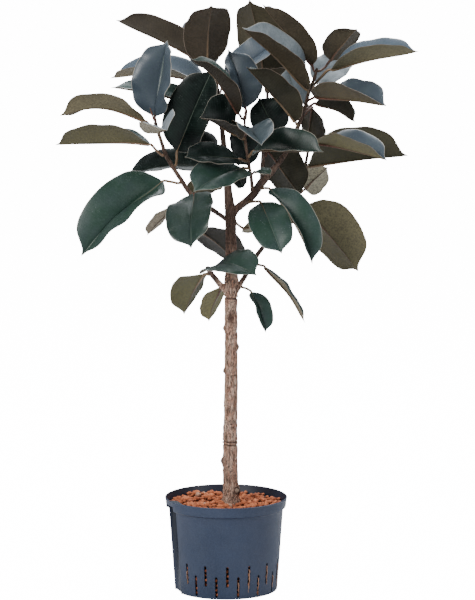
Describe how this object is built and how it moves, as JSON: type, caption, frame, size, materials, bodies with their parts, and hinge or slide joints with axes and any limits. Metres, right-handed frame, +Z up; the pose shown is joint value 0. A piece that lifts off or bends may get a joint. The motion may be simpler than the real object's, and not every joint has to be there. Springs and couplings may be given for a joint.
{
  "type": "potted rubber plant",
  "caption": "Bushy broad-leaved house plant trained on one bare woody trunk, standing in a round slotted plastic culture pot filled with clay pebbles.",
  "frame": {"origin": "centre of the pot's underside", "axes": "+Z up; the pot's gauge groove is on the left, -X side, and the fuller, nearer leaves face -Y"},
  "size_m": [0.73, 0.4279, 1.201],
  "materials": {
    "pot_plastic": "matte slate blue",
    "fired_clay": "matt unglazed",
    "bark": "rough bark",
    "bud_sheath": "satin",
    "leaf_blade": null
  },
  "bodies": {
    "root": {"pot": "pot_plastic", "clay_pebbles": "fired_clay", "trunk_and_branches": "bark", "bud_left": "bud_sheath", "bud_middle": "bud_sheath", "leaf_top_1": "leaf_blade", "leaf_top_2": "leaf_blade", "leaf_top_3": "leaf_blade", "leaf_top_4": "leaf_blade", "leaf_top_5": "leaf_blade", "leaf_top_6": "leaf_blade", "leaf_top_7": "leaf_blade", "leaf_top_8": "leaf_blade", "leaf_top_9": "leaf_blade", "leaf_top_10": "leaf_blade", "leaf_top_11": "leaf_blade", "leaf_left_1": "leaf_blade", "leaf_left_2": "leaf_blade", "leaf_left_3": "leaf_blade", "leaf_left_4": "leaf_blade", "leaf_left_5": "leaf_blade", "leaf_left_6": "leaf_blade", "leaf_left_7": "leaf_blade", "leaf_left_8": "leaf_blade", "leaf_left_9": "leaf_blade", "leaf_middle_1": "leaf_blade", "leaf_middle_2": "leaf_blade", "leaf_middle_3": "leaf_blade", "leaf_middle_4": "leaf_blade", "leaf_middle_5": "leaf_blade", "leaf_middle_6": "leaf_blade", "leaf_middle_7": "leaf_blade", "leaf_middle_8": "leaf_blade", "leaf_back_1": "leaf_blade", "leaf_back_2": "leaf_blade", "leaf_back_3": "leaf_blade", "leaf_right_1": "leaf_blade", "leaf_right_2": "leaf_blade", "leaf_right_3": "leaf_blade", "leaf_right_4": "leaf_blade", "leaf_right_5": "leaf_blade", "leaf_right_6": "leaf_blade", "leaf_right_7": "leaf_blade", "leaf_right_8": "leaf_blade", "leaf_right_9": "leaf_blade", "leaf_right_10": "leaf_blade", "leaf_right_11": "leaf_blade", "leaf_right_12": "leaf_blade", "leaf_right_13": "leaf_blade", "leaf_low_right_1": "leaf_blade", "leaf_low_right_2": "leaf_blade", "leaf_low_right_3": "leaf_blade", "leaf_low_right_4": "leaf_blade", "leaf_low_right_5": "leaf_blade", "leaf_low_right_6": "leaf_blade", "leaf_low_left_1": "leaf_blade", "leaf_low_left_2": "leaf_blade", "leaf_low_left_3": "leaf_blade", "leaf_low_left_4": "leaf_blade"}
  },
  "joints": []
}
